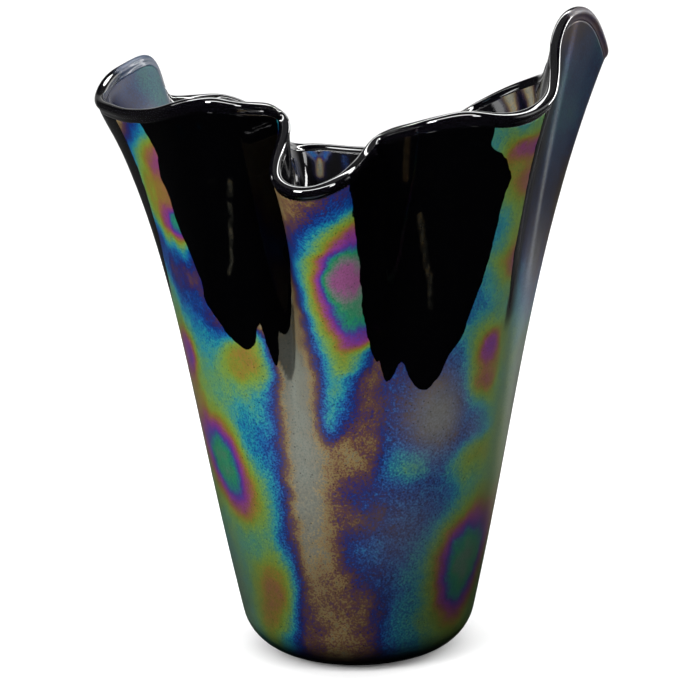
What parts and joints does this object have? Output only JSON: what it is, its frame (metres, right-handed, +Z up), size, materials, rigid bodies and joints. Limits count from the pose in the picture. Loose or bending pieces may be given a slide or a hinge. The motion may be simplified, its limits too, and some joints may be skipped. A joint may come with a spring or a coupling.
{
  "type": "glass vase",
  "caption": "Hand blown black glass vase with an iridescent lustred outside, a rounded heel and a tall ruffled, handkerchief-folded lip edged with a glossy black bead.",
  "frame": {"origin": "centre of the ground foot, on the plane the vase stands on", "axes": "+Z up along the axis of the turned body, -Y towards the front, where the low drooping lobe of the lip is, +X towards the tallest lobe"},
  "size_m": [0.1983, 0.2162, 0.2524],
  "materials": {
    "black_glass": "fire-polished black glass, opaque",
    "lustre_glass": "fumed iridescent lustre over black glass, opaque",
    "lip_glass": "fire-polished black glass, opaque",
    "button_glass": "broken and lightly ground black glass, opaque"
  },
  "bodies": {
    "root": {"black_core": "black_glass", "lustre_casing": "lustre_glass", "lip_wrap": "lip_glass", "pontil_button": "button_glass"}
  },
  "joints": []
}
